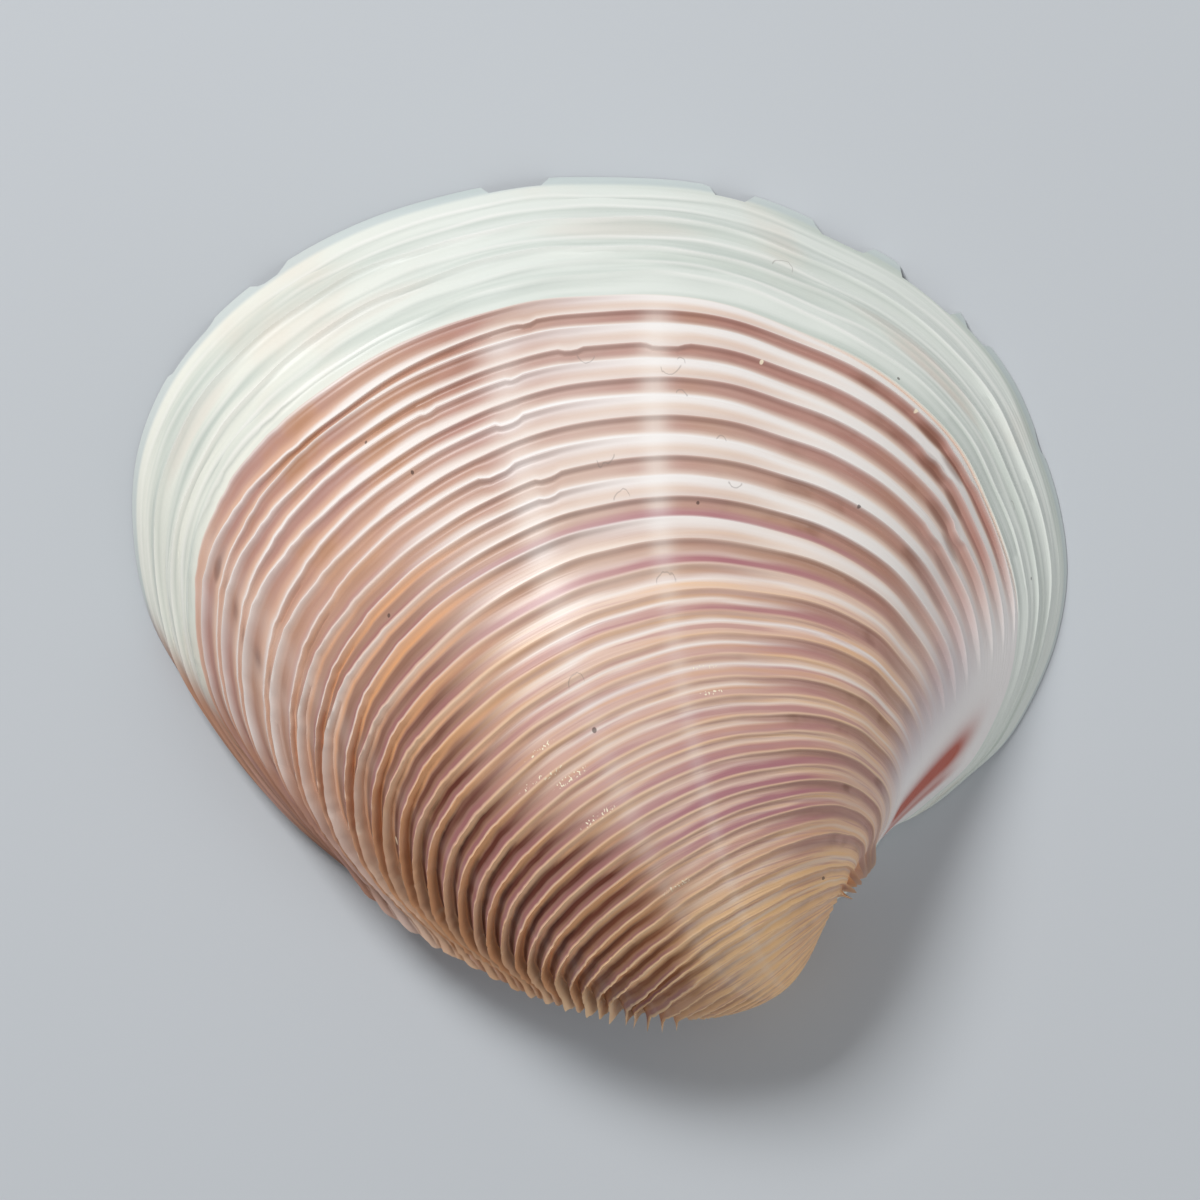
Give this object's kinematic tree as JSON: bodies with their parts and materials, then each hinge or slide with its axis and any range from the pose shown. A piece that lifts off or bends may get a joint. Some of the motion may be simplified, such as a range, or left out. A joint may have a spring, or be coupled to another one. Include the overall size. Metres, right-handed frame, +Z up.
{
  "type": "clam shell valve",
  "caption": "Left half of a ridged venus clam shell: a thin hollow dome with raised growth ridges, a curled beak and a toothed hinge plate, lying on its rim.",
  "frame": {"origin": "middle of the outline, in the plane that the rim rests on", "axes": "+X towards the front end of the shell, +Y from the hinge towards the lower edge, +Z up through the dome"},
  "size_m": [0.0382, 0.0342, 0.0115],
  "materials": {
    "porcelain_shell": "glossy natural shell, banded pinkish brown with a white edge"
  },
  "bodies": {
    "root": {"left_valve": "porcelain_shell"}
  },
  "joints": []
}
